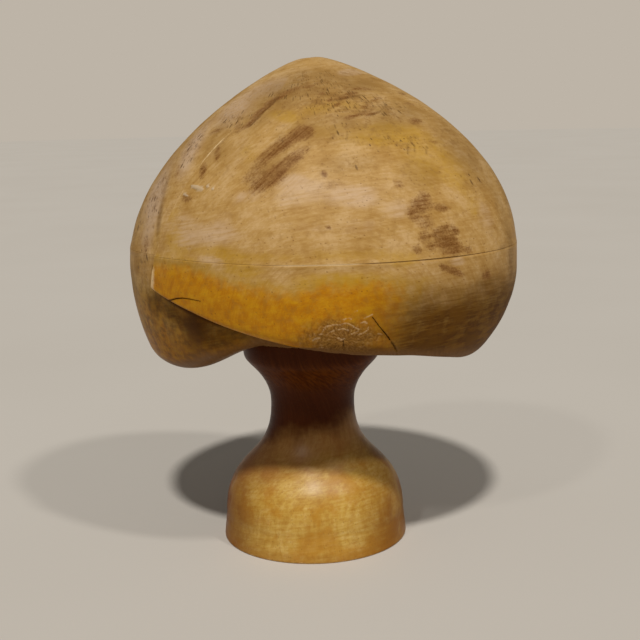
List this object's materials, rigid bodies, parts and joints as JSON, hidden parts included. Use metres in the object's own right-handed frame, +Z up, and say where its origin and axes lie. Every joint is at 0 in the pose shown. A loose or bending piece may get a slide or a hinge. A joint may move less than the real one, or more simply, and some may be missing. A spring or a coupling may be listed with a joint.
{
  "type": "hat block",
  "caption": "Carved wooden hat block with a pointed crown and a lapped side fold, turning on a loose peg in a turned stand.",
  "frame": {"origin": "centre of the stand's foot, on the surface it stands on", "axes": "+Z up along the stand's and peg's axis, -Y towards the side with the lapped fold, +X to the viewer's right"},
  "size_m": [0.2359, 0.2099, 0.2948],
  "materials": {
    "stand": "satin, worn varnish",
    "peg": "bare",
    "base": "satin, stained and worn",
    "crown": "satin, stained and worn"
  },
  "bodies": {
    "stand": {"stand": "stand"},
    "peg": {"peg": "peg"},
    "head": {"base_block": "base", "crown_block": "crown"}
  },
  "joints": [
    {"name": "head_turn", "type": "hinge", "parent": "stand", "child": "peg", "pos_m": [0, 0, 0.128], "axis": [0, 0, 1], "continuous": true},
    {"name": "head_lift", "type": "slide", "parent": "peg", "child": "head", "axis": [0, 0, 1], "range_m": [0, 0.06]}
  ]
}
